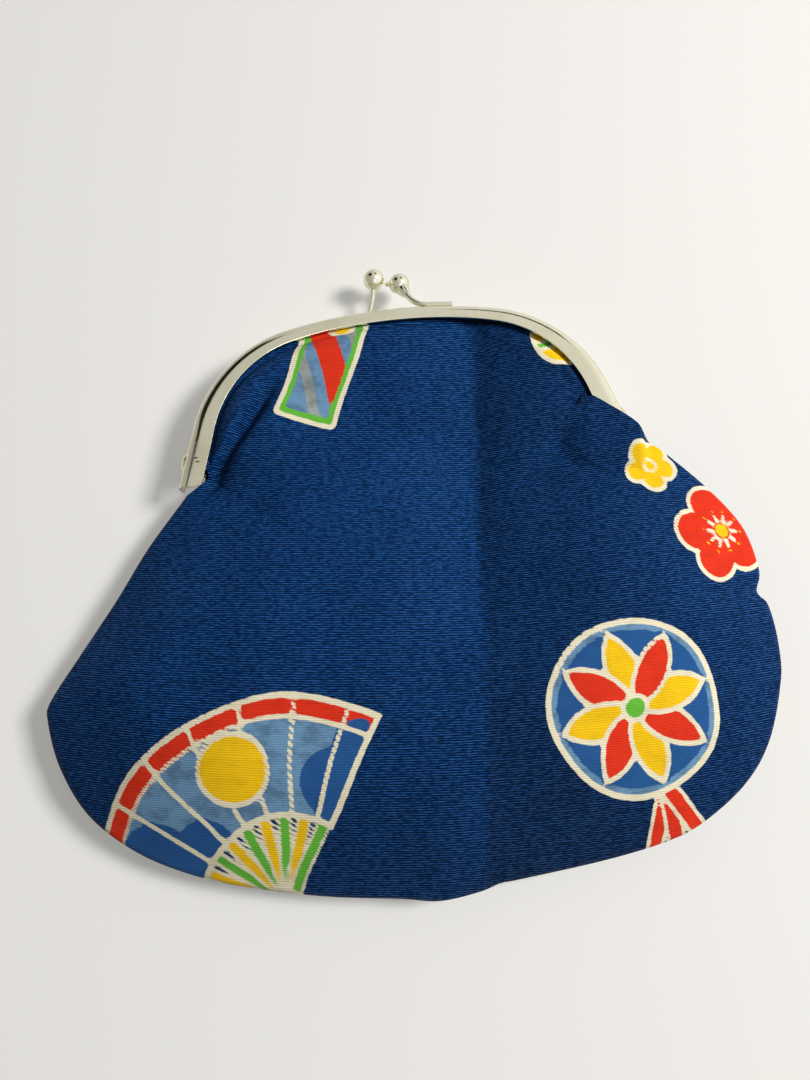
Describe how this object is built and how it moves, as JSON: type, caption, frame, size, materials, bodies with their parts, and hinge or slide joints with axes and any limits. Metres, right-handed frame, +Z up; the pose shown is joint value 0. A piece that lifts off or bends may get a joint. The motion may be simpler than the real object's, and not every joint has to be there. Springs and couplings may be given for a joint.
{
  "type": "kiss lock coin purse",
  "caption": "Kiss lock coin purse in ribbed navy cloth with printed motifs and a curved nickel frame, lying on its back.",
  "frame": {"origin": "bottom centre of the bounding box, on the surface that the purse lies on", "axes": "+X across the purse along the hinge line, +Y from the bag's bottom seam towards the clasp, +Z up out of the front panel"},
  "size_m": [0.153, 0.1378, 0.0194],
  "materials": {
    "frame_metal": "polished nickel plate with fine handling marks",
    "ribbed_cloth": "matt horizontally ribbed crepe, printed at its edges",
    "lining_cloth": "matt plain weave",
    "paper_cord": "twisted kraft paper"
  },
  "bodies": {
    "back": {"rear_frame_half": "frame_metal", "rear_clasp_ball": "frame_metal", "rear_clasp_stem": "frame_metal", "back_panel": "ribbed_cloth", "back_lining": "lining_cloth", "front_panel": "ribbed_cloth", "front_lining": "lining_cloth", "rear_paper_cord": "paper_cord"},
    "front": {"front_frame_half": "frame_metal", "left_hinge_rivet": "frame_metal", "right_hinge_rivet": "frame_metal", "front_clasp_ball": "frame_metal", "front_clasp_stem": "frame_metal", "front_panel_mouth": "ribbed_cloth", "front_lining_mouth": "lining_cloth", "front_paper_cord": "paper_cord"}
  },
  "joints": [
    {"name": "frame_hinge", "type": "hinge", "parent": "back", "child": "front", "pos_m": [0.00365, 0.0269, 0.0064], "axis": [1, 0, 0], "range_deg": [0, 90]}
  ]
}
